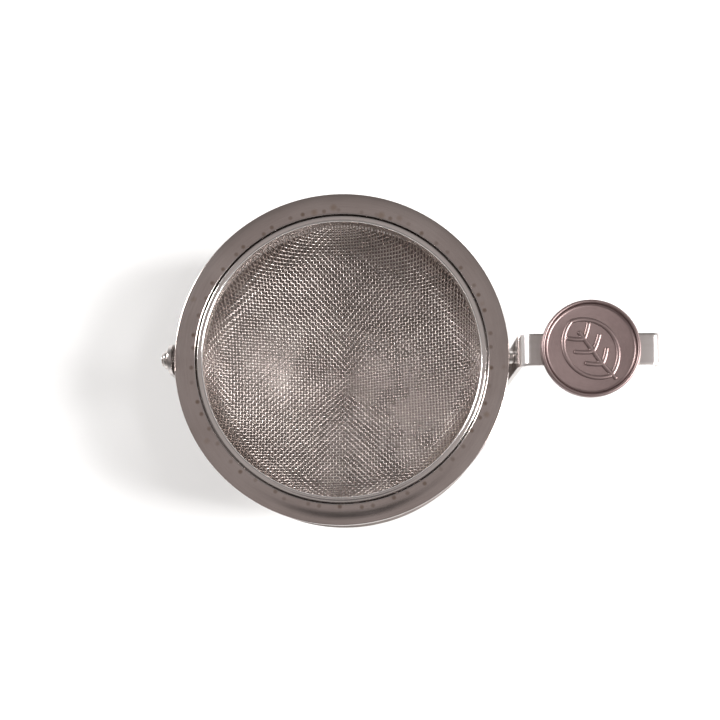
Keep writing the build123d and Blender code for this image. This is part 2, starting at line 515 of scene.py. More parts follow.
def rounded(corners: list[Point2], radius: float, count: int = 5, closed: bool = True) -> list[Point2]:
    """Round the corners of an outline.

    Args:
        corners: Corner points in order.
        radius: Radius of every corner; it is kept under half of the shorter side.
        count: Points on each corner's arc.
        closed: Whether the last corner joins the first.

    Returns:
        The outline's points.
    """
    out: list[Point2] = []
    total = len(corners)
    for i, corner in enumerate(corners):
        if not closed and i in (0, total - 1):
            out.append(corner)
            continue
        here = Vector(corner)
        before = Vector(corners[i - 1]) - here
        after = Vector(corners[(i + 1) % total]) - here
        turn = before.angle(after)
        shorter = min(before.length * CORNER_SHARE, after.length * CORNER_SHARE)
        reach = min(radius / math.tan(turn / 2), shorter)
        real = reach * math.tan(turn / 2)
        inward = (before.normalized() + after.normalized()).normalized()
        middle = here + inward * (real / math.sin(turn / 2))
        first = here + before.normalized() * reach - middle
        sweep = first.angle_signed(here + after.normalized() * reach - middle)
        for k in range(count):
            spoke = first.copy()
            spoke.rotate(Matrix.Rotation(-sweep * k / (count - 1), 2))
            out.append(tuple(middle + spoke))
    return out


class Workshop:
    """Makes meshes with Blender's operators and finishes them."""

    @staticmethod
    def clear() -> None:
        """Leave edit mode and deselect everything."""
        if bpy.context.object and bpy.context.object.mode != "OBJECT":
            bpy.ops.object.mode_set(mode="OBJECT")
        bpy.ops.object.select_all(action="DESELECT")

    def pick(self, thing: bpy.types.Object) -> None:
        """Make one object the only selected and the active one.

        Args:
            thing: The object.
        """
        self.clear()
        thing.select_set(True)
        bpy.context.view_layer.objects.active = thing

    def outline(self, name: str, points: list[Vector], closed: bool) -> bpy.types.Object:
        """Start a piece from a chain of edges.

        Args:
            name: The piece's name.
            points: The chain's points.
            closed: Whether the chain is a loop.

        Returns:
            The new object, selected and active.
        """
        self.clear()
        bpy.ops.mesh.primitive_circle_add(vertices=max(3, len(points)), radius=1.0)
        thing = bpy.context.object
        thing.name = thing.data.name = name
        for vertex, point in zip(thing.data.vertices, points):
            vertex.co = point
        if not closed:
            shape = bmesh.new()
            shape.from_mesh(thing.data)
            shape.verts.ensure_lookup_table()
            last = shape.edges.get((shape.verts[-1], shape.verts[0]))
            shape.edges.remove(last)
            shape.to_mesh(thing.data)
            shape.free()
        return thing

    def lathe(self, name: str, profile: list[Point2], steps: int = LATHE_STEPS) -> bpy.types.Object:
        """Spin a closed profile about the vertical axis.

        Args:
            name: The piece's name.
            profile: Loop of radius and height in metres.
            steps: Segments of the full turn.

        Returns:
            The turned piece.
        """
        thing = self.outline(name, [Vector((r, 0.0, z)) for r, z in profile], True)
        bpy.ops.object.mode_set(mode="EDIT")
        bpy.ops.mesh.select_all(action="SELECT")
        bpy.ops.mesh.spin(steps=steps, angle=2 * math.pi, center=(0, 0, 0), axis=(0, 0, 1))
        bpy.ops.mesh.select_all(action="SELECT")
        bpy.ops.mesh.remove_doubles(threshold=MERGE_DISTANCE)
        bpy.ops.mesh.normals_make_consistent(inside=False)
        bpy.ops.object.mode_set(mode="OBJECT")
        return thing

    def turned(self, name: str, profile: list[Point2], height: float) -> bpy.types.Object:
        """Spin a profile about the swivel axis.

        Args:
            name: The piece's name.
            profile: Loop of radius and place along X, in metres.
            height: Height of the swivel axis.

        Returns:
            The turned piece.
        """
        thing = self.lathe(name, profile, SMALL_LATHE_STEPS)
        turn = Matrix(((0, 0, 1, 0), (0, 1, 0, 0), (-1, 0, 0, height), (0, 0, 0, 1)))
        thing.data.transform(turn)
        return thing

    def strip(self, name: str, rows: list[tuple[Point2, float]], thickness: float,
              columns: int = 12) -> bpy.types.Object:
        """Sheet strip that follows a route in the XZ plane, with a width for each row.

        Args:
            name: The piece's name.
            rows: Route point (x, z) on the sheet's middle, and half the width there.
            thickness: Sheet thickness.
            columns: Faces across the width.

        Returns:
            The strip, thickened and with softened edges.
        """
        self.clear()
        bpy.ops.mesh.primitive_grid_add(x_subdivisions=columns, y_subdivisions=len(rows) - 1, size=2.0)
        thing = bpy.context.object
        thing.name = thing.data.name = name
        wide = columns + 1
        for index, vertex in enumerate(thing.data.vertices):
            (x, z), half = rows[index // wide]
            across = 2.0 * (index % wide) / columns - 1.0
            vertex.co = (x, across * half, z)
        thick = thing.modifiers.new("sheet", "SOLIDIFY")
        thick.thickness = thickness
        thick.offset = 0.0
        thick.use_even_offset = True
        soft = thing.modifiers.new("edges", "BEVEL")
        soft.width = min(STRIP_EDGE, thickness * STRIP_EDGE_SHARE)
        soft.segments = 2
        soft.limit_method = "ANGLE"
        soft.angle_limit = math.radians(STRIP_EDGE_ANGLE)
        self.apply(thing)
        return thing

    def apply(self, thing: bpy.types.Object) -> None:
        """Apply every modifier of a piece.

        Args:
            thing: The piece.
        """
        self.pick(thing)
        for modifier in list(thing.modifiers):
            bpy.ops.object.modifier_apply(modifier=modifier.name)

    def drill(self, thing: bpy.types.Object, radius: float, start: Vector, end: Vector) -> None:
        """Cut a round hole through a piece.

        Args:
            thing: The piece to cut.
            radius: Radius of the hole.
            start: One end of the drill.
            end: The other end.
        """
        self.clear()
        middle, run = (start + end) / 2, end - start
        bpy.ops.mesh.primitive_cylinder_add(vertices=DRILL_SIDES, radius=radius, depth=run.length,
                                            location=middle,
                                            rotation=run.to_track_quat("Z", "Y").to_euler())
        drill = bpy.context.object
        cut = thing.modifiers.new("hole", "BOOLEAN")
        cut.operation = "DIFFERENCE"
        cut.solver = "EXACT"
        cut.object = drill
        self.apply(thing)
        bpy.data.objects.remove(drill, do_unlink=True)

    def finish(self, thing: bpy.types.Object, material: bpy.types.Material, body: str, slot: str,
               stands_for: tuple[str, ...], smooth: float = 32.0) -> bpy.types.Object:
        """Shade, dress and attach a piece.

        Args:
            thing: The piece.
            material: Its material.
            body: CAD body that it rides on.
            slot: Not used.
            stands_for: CAD nodes that it replaces.
            smooth: Largest angle, in degrees, that is shaded smooth.

        Returns:
            The same piece.
        """
        self.pick(thing)
        bpy.ops.object.shade_smooth_by_angle(angle=math.radians(smooth), keep_sharp_edges=False)
        thing.data.materials.clear()
        thing.data.materials.append(material)
        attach(thing, body)
        if stands_for:
            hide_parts(*stands_for)
        triangles = sum(len(face.vertices) - 2 for face in thing.data.polygons)
        log.info("%s: %d triangles", thing.name, triangles)
        return thing


# ---------------------------------------------------------------- basket


@dataclass
class Rim:
    """Flat rim: face ring, edge band and back ring, with the bead and neck band inside."""

    shop: Workshop
    finishes: Finishes
    face_width: float = 4.1 * MM
    back_width: float = 4.5 * MM
    edge: float = 0.22 * MM
    edge_band_wall: float = 0.6 * MM
    neck_band_wall: float = 0.5 * MM
    bead_width: float = 1.2 * MM
    bead_height: float = 0.5 * MM
    bead_crest: float = 0.45 * MM
    bead_roll: float = 0.24 * MM
    skirt_wall: float = 0.4 * MM

    def build(self) -> None:
        """Build every ring of the rim."""
        self._ring("rim_face_ring", self.face_width, self.finishes.rim, "rim_steel")
        self._ring("rim_back_ring", self.back_width, self.finishes.back, "rim_steel")
        self._ring("rim_edge_band", self.edge_band_wall, self.finishes.back, "rim_steel")
        self._ring("neck_band", self.neck_band_wall, self.finishes.bead, "polished_steel")
        self._collar()

    def _ring(self, node: str, width: float, material: bpy.types.Material, slot: str) -> None:
        """Flat ring with rounded edges, in the place of a CAD ring.

        Args:
            node: CAD node that the ring replaces.
            width: Width of the ring's face.
            material: Its material.
            slot: The record's material slot.
        """
        low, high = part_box(node)
        outer = high[0]
        corners = [(outer - width, low[2]), (outer, low[2]), (outer, high[2]), (outer - width, high[2])]
        ring = self.shop.lathe(node + "_turned", rounded(corners, self.edge))
        self.shop.finish(ring, material, "basket", slot, (node,))

    def _collar(self) -> None:
        """Rolled bead and the skirt that lines the mesh's neck."""
        low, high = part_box("collar_ring")
        outer = high[0]
        inner = outer - self.bead_width
        bead_low = high[2] - self.bead_height
        crest, roll = self.bead_crest, self.bead_roll
        profile = [(inner, low[2])]
        profile += arc((inner + crest, high[2] - crest), crest, 180, 90, 8)
        profile += arc((outer - roll, high[2] - roll), roll, 90, 0, 6)
        profile += arc((outer - roll, bead_low + roll), roll, 0, -90, 5)
        profile += [(inner + self.skirt_wall, bead_low), (inner + self.skirt_wall, low[2])]
        collar = self.shop.lathe("collar_bead", profile)
        self.shop.finish(collar, self.finishes.bead, "basket", "polished_steel", ("collar_ring",),
                         smooth=50.0)


class Family(Enum):
    """The two wire directions of the weave."""

    ALONG_X = 0
    ALONG_Y = 1


@dataclass
class WovenBowl:
    """Plain-woven wire mesh pressed into a pointed bowl."""

    shop: Workshop
    finishes: Finishes
    wire: float = 0.25 * MM
    pitch: float = 0.70 * MM
    neck_r: float = 28.05 * MM
    bend_r: float = 9.75 * MM
    slope: float = math.radians(28.0)
    tip_soft: float = 1.0 * MM
    sides: int = 6
    flange_drop: float = 0.5 * MM
    neck_drop: float = 2.3 * MM
    neck_margin: float = 0.1 * MM
    end_margin: float = 0.02 * MM
    neck_gap: float = 0.001 * MM
    bend_limit: float = 0.9999
    weave_turn: float = math.radians(1.6)
    hoop_rows: int = 3
    hoop_gap_share: float = 0.8
    hoop_lift: float = 0.1 * MM
    hoop_segments: int = 180
    flange_low: float = field(init=False)
    neck_low: float = field(init=False)
    bend_x: float = field(init=False)
    cone_r: float = field(init=False)
    cone_run: float = field(init=False)
    cone_z: float = field(init=False)

    def __post_init__(self) -> None:
        """Work out the bowl's heights from the CAD shell."""
        _low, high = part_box("mesh_bowl")
        self.flange_low = high[2] - self.flange_drop
        self.neck_low = self.flange_low - self.neck_drop
        self.bend_x = self.neck_r - self.bend_r
        self.cone_r = self.bend_x + self.bend_r * math.sin(self.slope)
        self.cone_run = self.cone_r / math.cos(self.slope)
        self.cone_z = self.neck_low - self.bend_r * math.cos(self.slope)

    def plan_place(self, run: float) -> float:
        """Distance from the axis, seen from above, after a run along the surface from the tip.

        Args:
            run: Length along the surface, with the sign of its side.

        Returns:
            The distance, with the same sign.
        """
        size = abs(run)
        if size <= self.cone_run:
            place = size * math.cos(self.slope)
        else:
            angle = self.slope + (size - self.cone_run) / self.bend_r
            place = self.bend_x + self.bend_r * math.sin(min(angle, math.pi / 2))
        return math.copysign(place, run)

    def surface(self, radius: np.ndarray) -> tuple[np.ndarray, np.ndarray]:
        """Height of the mesh's middle surface and its slope.

        Args:
            radius: Distances from the axis.

        Returns:
            Heights, and slopes as rise over run.
        """
        out = np.clip(radius - self.bend_x, 0.0, self.bend_r * self.bend_limit)
        drop = np.sqrt(self.bend_r ** 2 - out ** 2)
        soft_r = np.hypot(radius, self.tip_soft)
        cone_z = self.cone_z - (self.cone_r - soft_r) * math.tan(self.slope)
        cone_slope = math.tan(self.slope) * radius / soft_r
        inside = radius < self.cone_r
        return np.where(inside, cone_z, self.neck_low - drop), np.where(inside, cone_slope, out / drop)

    def build(self) -> None:
        """Weave both families, each in two halves, and add the hoops at the neck."""
        places = self._crossings()
        for family in Family:
            for side, word in ((-1, "near"), (1, "far")):
                name = f"mesh_{family.name.lower()}_{word}"
                self._weave(name, family, places, side)
        self._hoops()

    def _crossings(self) -> list[tuple[int, float]]:
        """Find every wire across the bowl.

        Returns:
            The index and place of each.
        """
        out = []
        count = int(self.neck_r * 2 / self.pitch)
        for index in range(-count, count + 1):
            place = self.plan_place((index + 0.5) * self.pitch)
            if abs(place) < self.neck_r - self.neck_margin:
                out.append((index, place))
        return out

    def _weave(self, name: str, family: Family, places: list[tuple[int, float]], side: int) -> None:
        """Build half of one wire family as one piece.

        Args:
            name: The piece's name.
            family: Direction of its wires.
            places: Index and place of every wire.
            side: Which half of the wires: -1 or 1.
        """
        verts: list[np.ndarray] = []
        faces: list[tuple[int, ...]] = []
        start = 0
        for index, place in places:
            if (index >= 0) != (side > 0):
                continue
            path, lift = self._wire_path(index, place, places)
            rings = self._tube(path, lift)
            verts.append(rings.reshape(-1, 3))
            faces += self._tube_faces(start, len(rings))
            start += len(rings) * self.sides
        points = np.concatenate(verts)
        if family is Family.ALONG_X:
            points = points[:, [1, 0, 2]]
            faces = [tuple(reversed(face)) for face in faces]
        cos_turn, sin_turn = math.cos(self.weave_turn), math.sin(self.weave_turn)
        turn = np.array([[cos_turn, sin_turn, 0.0], [-sin_turn, cos_turn, 0.0], [0.0, 0.0, 1.0]])
        mesh = bpy.data.meshes.new(name)
        mesh.from_pydata((points @ turn).tolist(), [], faces)
        thing = bpy.data.objects.new(name, mesh)
        bpy.context.scene.collection.objects.link(thing)
        self.shop.finish(thing, self.finishes.wire, "basket", "mesh_steel", ("mesh_bowl",),
                         smooth=80.0)

    def _tube_faces(self, start: int, rings: int) -> list[tuple[int, ...]]:
        """Faces of a closed tube.

        Args:
            start: Index of its first point.
            rings: Number of its rings.

        Returns:
            The faces, with both ends closed.
        """
        faces: list[tuple[int, ...]] = []
        for row in range(rings - 1):
            for k in range(self.sides):
                a = start + row * self.sides + k
                b = start + row * self.sides + (k + 1) % self.sides
                faces.append((a, b, b + self.sides, a + self.sides))
        faces.append(tuple(start + k for k in reversed(range(self.sides))))
        end = start + (rings - 1) * self.sides
        faces.append(tuple(end + k for k in range(self.sides)))
        return faces

    def _wire_path(self, index: int, place: float,
                   places: list[tuple[int, float]]) -> tuple[np.ndarray, np.ndarray]:
        """Middle line of one wire in the direction of Y, before the weave's lift.

        Args:
            index: The wire's index.
            place: Its place across the bowl.
            places: Index and place of every crossing wire.

        Returns:
            Points (x, y), and the weave's lift at each, from -1 to 1.
        """
        edge = math.sqrt(self.neck_r ** 2 - place ** 2)
        crossings = [(j, y) for j, y in places if abs(y) < edge - self.end_margin]
        ys, lifts = [], []
        for (j, y), following in zip(crossings, crossings[1:] + [None]):
            ys.append(y)
            lifts.append(1.0 if (index + j) % 2 == 0 else -1.0)
            if following is not None:
                ys.append((y + following[1]) / 2)
                lifts.append(0.0)
        if not ys:
            ys, lifts = [0.0], [0.0]
        ys = [-edge] + ys + [edge]
        lifts = [0.0] + lifts + [0.0]
        path = np.column_stack([np.full(len(ys), place), np.array(ys)])
        return path, np.array(lifts)

    def _tube(self, path: np.ndarray, lift: np.ndarray) -> np.ndarray:
        """Tube along a wire, standing on the bowl's surface and going on up the neck.

        Args:
            path: Points (x, y).
            lift: The weave's lift at each point.

        Returns:
            Rings of points, one row for each ring.
        """
        radius = np.hypot(path[:, 0], path[:, 1])
        height, slope = self.surface(np.minimum(radius, self.neck_r - self.neck_gap))
        flat = np.maximum(radius, TINY)
        normal = np.column_stack([-path[:, 0] / flat * slope, -path[:, 1] / flat * slope,
                                  np.ones(len(path))])
        normal /= np.linalg.norm(normal, axis=1)[:, None]
        middle = np.column_stack([path, height]) + normal * (lift * self.wire * 0.5)[:, None]
        top = self.flange_low + self.flange_drop * 0.5
        first, last = middle[0].copy(), middle[-1].copy()
        first[2] = last[2] = top
        middle = np.vstack([first, middle, last])
        normal = np.vstack([normal[0], normal, normal[-1]])
        ahead = np.gradient(middle, axis=0)
        ahead /= np.linalg.norm(ahead, axis=1)[:, None]
        across = np.cross(ahead, normal)
        across /= np.maximum(np.linalg.norm(across, axis=1), TINY)[:, None]
        upward = np.cross(across, ahead)
        angles = np.arange(self.sides) * 2 * math.pi / self.sides
        spoke = (np.cos(angles)[None, :, None] * across[:, None, :]
                 + np.sin(angles)[None, :, None] * upward[:, None, :])
        return middle[:, None, :] + spoke * self.wire * 0.5

    def _hoops(self) -> None:
        """Wires that run round the straight neck."""
        hoops = []
        gap = self.pitch * self.hoop_gap_share
        for row in range(self.hoop_rows):
            height = self.neck_low + self.hoop_lift + row * gap
            self.shop.clear()
            bpy.ops.mesh.primitive_torus_add(major_radius=self.neck_r, minor_radius=self.wire * 0.5,
                                             major_segments=self.hoop_segments,
                                             minor_segments=self.sides, location=(0.0, 0.0, height))
            hoops.append(bpy.context.object)
        self.shop.clear()
        for hoop in hoops:
            hoop.select_set(True)
        bpy.context.view_layer.objects.active = hoops[0]
        bpy.ops.object.join()
        bpy.ops.object.transform_apply(location=True, rotation=True, scale=True)
        joined = bpy.context.object
        joined.name = joined.data.name = "mesh_neck_hoops"
        self.shop.finish(joined, self.finishes.wire, "basket", "mesh_steel", ("mesh_bowl",),
                         smooth=80.0)


@dataclass
class Pivots:
    """Pins, washer, nut and spacer on the swivel axis."""

    shop: Workshop
    finishes: Finishes
    pin_r: float = 0.5 * MM
    head_length: float = 0.5 * MM
    head_edge: float = 0.12 * MM
    dome_share: float = 0.6
    washer_edge: float = 0.06 * MM
    nut_edge: float = 0.2 * MM
    spacer_edge: float = 0.1 * MM
    height: float = field(init=False)

    def __post_init__(self) -> None:
        """Read the swivel axis's height from the CAD pin."""
        low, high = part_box("left_pivot_pin")
        self.height = (low[2] + high[2]) / 2

    def build(self) -> None:
        """Turn every small round part, and dress the blocks that hold the pins."""
        self._pin("left_pivot_pin", -1)
        self._pin("right_pivot_pin", 1)
        self._disc("left_washer", self.washer_edge)
        self._disc("left_collar_nut", self.nut_edge)
        self._disc("right_spacer", self.spacer_edge)
        for node in ("left_pin_block", "right_pin_block"):
            block = bpy.data.objects[node]
            block.data.materials.clear()
            block.data.materials.append(self.finishes.pins)

    def _pin(self, node: str, side: int) -> None:
        """Pin with a domed head at its outer end.

        Args:
            node: CAD pin that it replaces.
            side: -1 for the left pin, 1 for the right one.
        """
        low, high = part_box(node)
        inner, outer = (high[0], low[0]) if side < 0 else (low[0], high[0])
        head_r = (high[2] - low[2]) / 2
        neck = outer - side * self.head_length
        rise = side * self.head_length * self.dome_share
        dome = [(head_r * math.cos(a), outer - rise * (1 - math.sin(a)))
                for a in (math.radians(d) for d in range(0, 91, 10))]
        profile = [(0.0, inner), (self.pin_r, inner), (self.pin_r, neck)]
        profile += [(head_r - self.head_edge, neck), (head_r, neck + side * self.head_edge)]
        profile += [(r, x) for r, x in dome[:-1]] + [(0.0, outer)]
        pin = self.shop.turned(node + "_turned", profile, self.height)
        self.shop.finish(pin, self.finishes.pins, "basket", "pin_steel", (node,), smooth=40.0)

    def _disc(self, node: str, edge: float) -> None:
        """Flat round part with a bore for the pin.

        Args:
            node: CAD part that it replaces.
            edge: Rounding of its edges.
        """
        low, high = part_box(node)
        outer_r = (high[2] - low[2]) / 2
        corners = [(self.pin_r, low[0]), (outer_r, low[0]), (outer_r, high[0]), (self.pin_r, high[0])]
        part = self.shop.turned(node + "_turned", rounded(corners, edge), self.height)
        self.shop.finish(part, self.finishes.pins, "basket", "pin_steel", (node,), smooth=40.0)


# ---------------------------------------------------------------- stand


@dataclass
class DripBowl:
    """Pressed bowl with a flat base and a narrow lip."""

    shop: Workshop
    finishes: Finishes
    wall: float = 0.6 * MM
    base_r: float = 14.0 * MM
    mouth_r: float = 31.6 * MM
    base_bend: float = 0.6 * MM
    heel: float = 0.15 * MM
    heel_rise: float = 0.1 * MM
    lip_soften: float = 0.25 * MM
    mouth_round: float = 0.2 * MM
    wall_points: int = 40

    def build(self) -> None:
        """Spin the bowl's section."""
        _low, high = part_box("drip_bowl")
        lip_r, top = high[0], high[2]
        lip_low = top - self.wall
        centre_z = (self.mouth_r ** 2 + lip_low ** 2 - self.base_r ** 2) / (2 * lip_low)
        sphere_r = math.hypot(self.base_r, centre_z)
        outer = self._wall(sphere_r, centre_z, 0.0, lip_low)
        inner = self._wall(sphere_r - self.wall, centre_z, self.wall, top)
        soften = self.lip_soften
        edge_x = lip_r - soften
        profile = [(0.0, 0.0), (self.base_r - self.base_bend, 0.0)]
        profile += [(self.base_r - self.heel, self.heel_rise)] + outer[1:]
        profile += [(edge_x, lip_low)] + arc((edge_x, lip_low + soften), soften, -75, 0, 4)
        profile += arc((edge_x, top - soften), soften, 0, 90, 5)
        profile += [(inner[-1][0] + self.mouth_round, top)]
        profile += list(reversed(inner[:-1])) + [(0.0, self.wall)]
        bowl = self.shop.lathe("drip_bowl_pressed", profile)
        self.shop.finish(bowl, self.finishes.bowl, "stand", "bowl_steel", ("drip_bowl",),
                         smooth=40.0)

    def _wall(self, radius: float, centre_z: float, low: float, high: float) -> list[Point2]:
        """Points of the round wall between two heights, from the bottom up.

        Args:
            radius: Radius of the round wall.
            centre_z: Height of its centre.
            low: Lower height.
            high: Upper height.

        Returns:
            The points.
        """
        start = math.degrees(math.asin((low - centre_z) / radius))
        end = math.degrees(math.asin((high - centre_z) / radius))
        return arc((0.0, centre_z), radius, start, end, self.wall_points)


@dataclass
class Arms:
    """Left arm, and the strip that is right arm and handle in one."""

    shop: Workshop
    finishes: Finishes
    hole_r: float = 0.55 * MM
    arm_sheet: float = 0.7 * MM
    arm_heel: float = 0.42 * MM
    strap_sheet: float = 0.8 * MM
    strap_heel_share: float = 0.56
    strap_bend: float = 2.4 * MM
    tip_bend: float = 1.7 * MM
    tip_drop: float = 3.6 * MM
    tip_round: float = 1.2 * MM
    axial_play: float = 0.1 * MM
    least_half: float = 0.02 * MM
    drill_reach: float = MM
    axis_z: float = field(init=False)

    def __post_init__(self) -> None:
        """Read the swivel axis's height from the CAD pin."""
        low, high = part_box("left_pivot_pin")
        self.axis_z = (low[2] + high[2]) / 2

    def build(self) -> None:
        """Build both strips and drill them for the pins."""
        self._left()
        self._handle()

    def _rows(self, route: list[Point2], half: float, tail: float) -> list[tuple[Point2, float]]:
        """Rows of a strip whose end is rounded over the last stretch.

        Args:
            route: Points of the strip's middle line.
            half: Half the strip's width.
            tail: Corner radius at the end; a radius equal to half makes a round end.

        Returns:
            Route points with the half-width at each.
        """
        lengths = [0.0]
        for a, b in zip(route, route[1:]):
            lengths.append(lengths[-1] + math.dist(a, b))
        total = lengths[-1]
        round_end = {total - tail * (1 - math.sin(math.radians(d))) for d in range(0, 91, 9)}
        stops = sorted(set(lengths) | round_end)
        rows = []
        for stop in stops:
            k = max(i for i, length in enumerate(lengths) if length <= stop + TINY)
            k = min(k, len(route) - 2)
            share = (stop - lengths[k]) / (lengths[k + 1] - lengths[k])
            point = tuple(a + (b - a) * share for a, b in zip(route[k], route[k + 1]))
            into = max(0.0, stop - (total - tail))
            inset = tail - math.sqrt(max(0.0, tail ** 2 - into ** 2))
            rows.append((point, max(half - inset, self.least_half)))
        return rows

    def _pin_hole(self, strip: bpy.types.Object, x: float) -> None:
        """Drill a strip for its pin, where its upright stands along X."""
        start = Vector((x - self.drill_reach, 0, self.axis_z))
        self.shop.drill(strip, self.hole_r, start, Vector((x + self.drill_reach, 0, self.axis_z)))

    def _left(self) -> None:
        """Left arm: a foot under the bowl's lip and an upright with a round top."""
        low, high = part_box("left_arm")
        sheet = self.arm_sheet
        x, foot_z = low[0] + sheet / 2, low[2] + sheet / 2
        corners = [(high[0], foot_z), (x, foot_z), (x, high[2])]
        route = rounded(corners, self.arm_heel, 7, closed=False)
        half = (high[1] - low[1]) / 2
        arm = self.shop.strip("left_arm_strip", self._rows(route, half, half), sheet)
        self._pin_hole(arm, x)
        self.shop.finish(arm, self.finishes.strap, "stand", "strap_steel", ("left_arm",))

    def _handle(self) -> None:
        """Right arm and handle: foot, upright, bend, flat run and turned-down tip."""
        low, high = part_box("handle_strap")
        sheet = self.strap_sheet
        foot_z, top_z = low[2] + sheet / 2, high[2] - sheet / 2
        _spacer_low, spacer_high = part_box("right_spacer")
        x = spacer_high[0] + self.axial_play + sheet / 2
        tip_x, tip_z = high[0] - sheet / 2, high[2] - self.tip_drop
        start = [(low[0], foot_z), (x, foot_z), (x, (foot_z + top_z) / 2)]
        middle = [start[-1], (x, top_z), ((x + tip_x) / 2, top_z)]
        end = [middle[-1], (tip_x, top_z), (tip_x, tip_z)]
        route = rounded(start, sheet * self.strap_heel_share, 7, closed=False)
        route += rounded(middle, self.strap_bend, 14, closed=False)[1:]
        route += rounded(end, self.tip_bend, 12, closed=False)[1:]
        half = (high[1] - low[1]) / 2
        strap = self.shop.strip("handle_strip", self._rows(route, half, self.tip_round), sheet)
        self._pin_hole(strap, x)
        self.shop.finish(strap, self.finishes.strap, "stand", "strap_steel", ("handle_strap",))


@dataclass
class ThumbDisc:
    """Dished disc on the handle with a plain tea leaf in relief."""

    shop: Workshop
    finishes: Finishes
    sheet: float = 0.6 * MM
    edge: float = 0.1 * MM
    rim_width: float = 0.8 * MM
    crest_share: float = 0.42
    well_round: float = 0.5 * MM
    dish: float = 0.1 * MM
    leaf_sink: float = 0.06 * MM
    stroke: float = 0.9 * MM
    relief: float = 0.28 * MM
    leaf_length: float = 12.6 * MM
    leaf_width: float = 9.6 * MM
    leaf_turn: float = 35.0
    vein_spacing: float = 2.9 * MM
    rib_top_share: float = 0.62
    rib_low_share: float = 0.6
    rib_sways: Point3 = (0.15 * MM, -0.1 * MM, 0.5 * MM)
    stem: float = 1.1 * MM
    vein_drop: float = 0.7 * MM
    vein_reach: float = 2.5 * MM
    middle_vein_reach: float = 2.9 * MM
    vein_knee_share: float = 0.55
    vein_knee_rise: float = 0.75 * MM
    vein_rise: float = 2.0 * MM
    voxel: float = 0.09 * MM
    smooth_passes: int = 6
    low: Point3 = field(init=False)
    high: Point3 = field(init=False)
    centre: Point2 = field(init=False)

    def __post_init__(self) -> None:
        """Read the disc's place from the CAD disc."""
        self.low, self.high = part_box("thumb_disc")
        self.centre = ((self.low[0] + self.high[0]) / 2, (self.low[1] + self.high[1]) / 2)

    def build(self) -> None:
        """Build the disc and its relief."""
        base, top = self.low[2], self.high[2]
        radius = (self.high[1] - self.low[1]) / 2
        floor = base + self.sheet
        crest = self.rim_width * self.crest_share
        well_r, turn = radius - self.rim_width, self.well_round
        profile = [(0.0, base), (radius - self.edge, base), (radius, base + self.edge)]
        profile += arc((radius - crest, top - crest), crest, 0, 180, 12)
        profile += arc((well_r - turn, floor + turn), turn, -8, -90, 8)
        profile += [(well_r * 0.5, floor - self.dish / 2), (0.0, floor - self.dish)]
        disc = self.shop.lathe("thumb_disc_pressed", profile)
        disc.data.transform(Matrix.Translation((*self.centre, 0.0)))
        self.shop.finish(disc, self.finishes.disc, "stand", "disc_steel", ("thumb_disc",),
                         smooth=45.0)
        self._leaf(floor - self.leaf_sink)

    def _strokes(self) -> list[list[Point2]]:
        """Middle lines of the leaf's strokes, before the leaf is turned.

        Returns:
            The outline's two sides, the rib and the veins.
        """
        half, side = self.leaf_length / 2, self.leaf_width / 2
        bulge_r = (half ** 2 + side ** 2) / (2 * side)
        spread = math.degrees(math.asin(half / bulge_r))
        right = arc((side - bulge_r, 0.0), bulge_r, -spread, spread, 25)
        left = [(-x, y) for x, y in right]
        sway, sway_low, sway_stem = self.rib_sways
        rib = [(0.0, half * self.rib_top_share), (sway, 0.0), (sway_low, -half * self.rib_low_share),
               (sway_stem, -half - self.stem)]
        strokes = [right, left, rib]
        for step in (-1, 0, 1):
            root = step * self.vein_spacing - self.vein_drop
            reach = self.vein_reach if step else self.middle_vein_reach
            for mirror in (-1, 1):
                knee = (mirror * reach * self.vein_knee_share, root + self.vein_knee_rise)
                strokes.append([(0.0, root), knee, (mirror * reach, root + self.vein_rise)])
        return strokes

    def _leaf(self, floor: float) -> None:
        """Raised strokes as one smooth skin.

        Args:
            floor: Height of the disc's floor.
        """
        self.shop.clear()
        line = bpy.data.curves.new("leaf_lines", "CURVE")
        line.dimensions = "3D"
        line.bevel_depth = self.stroke / 2
        line.bevel_resolution = 3
        line.use_fill_caps = True
        line.resolution_u = 6
        for points in self._strokes():
            spline = line.splines.new("NURBS" if len(points) < 10 else "POLY")
            spline.points.add(len(points) - 1)
            for place, (x, y) in zip(spline.points, points):
                place.co = (x, y, 0.0, 1.0)
            if spline.type == "NURBS":
                spline.order_u = 3
                spline.use_endpoint_u = True
        leaf = bpy.data.objects.new("thumb_disc_leaf", line)
        bpy.context.scene.collection.objects.link(leaf)
        self.shop.pick(leaf)
        bpy.ops.object.convert(target="MESH")
        leaf = bpy.context.object
        skin = leaf.modifiers.new("skin", "REMESH")
        skin.mode = "VOXEL"
        skin.voxel_size = self.voxel
        calm = leaf.modifiers.new("calm", "SMOOTH")
        calm.iterations = self.smooth_passes
        self.shop.apply(leaf)
        rise = self.relief / (self.stroke / 2)
        turn = Matrix.Rotation(math.radians(self.leaf_turn), 4, "Z")
        squash = Matrix.Diagonal((1.0, 1.0, rise, 1.0))
        place = Matrix.Translation((*self.centre, floor))
        leaf.data.transform(place @ turn @ squash)
        self.shop.finish(leaf, self.finishes.disc, "stand", "disc_steel", (), smooth=80.0)


# ---------------------------------------------------------------- studio


GLOW_STOPS: tuple[tuple[float, Colour], ...] = (
    (0.0, (0.88, 0.88, 0.88)),
    (0.15, (0.70, 0.70, 0.70)),
    (0.45, (0.32, 0.31, 0.305)),
    (0.60, (0.17, 0.16, 0.155)),
    (0.80, (0.16, 0.15, 0.145)),
    (0.91, (0.35, 0.318, 0.308)),
    (1.0, (0.41, 0.372, 0.361)),
)


@dataclass(frozen=True)
class Softbox:
    """A rectangular softbox: its place in metres, its size in metres and its power in watts."""

    name: str
    place: Point3
    width: float
    height: float
    power: float


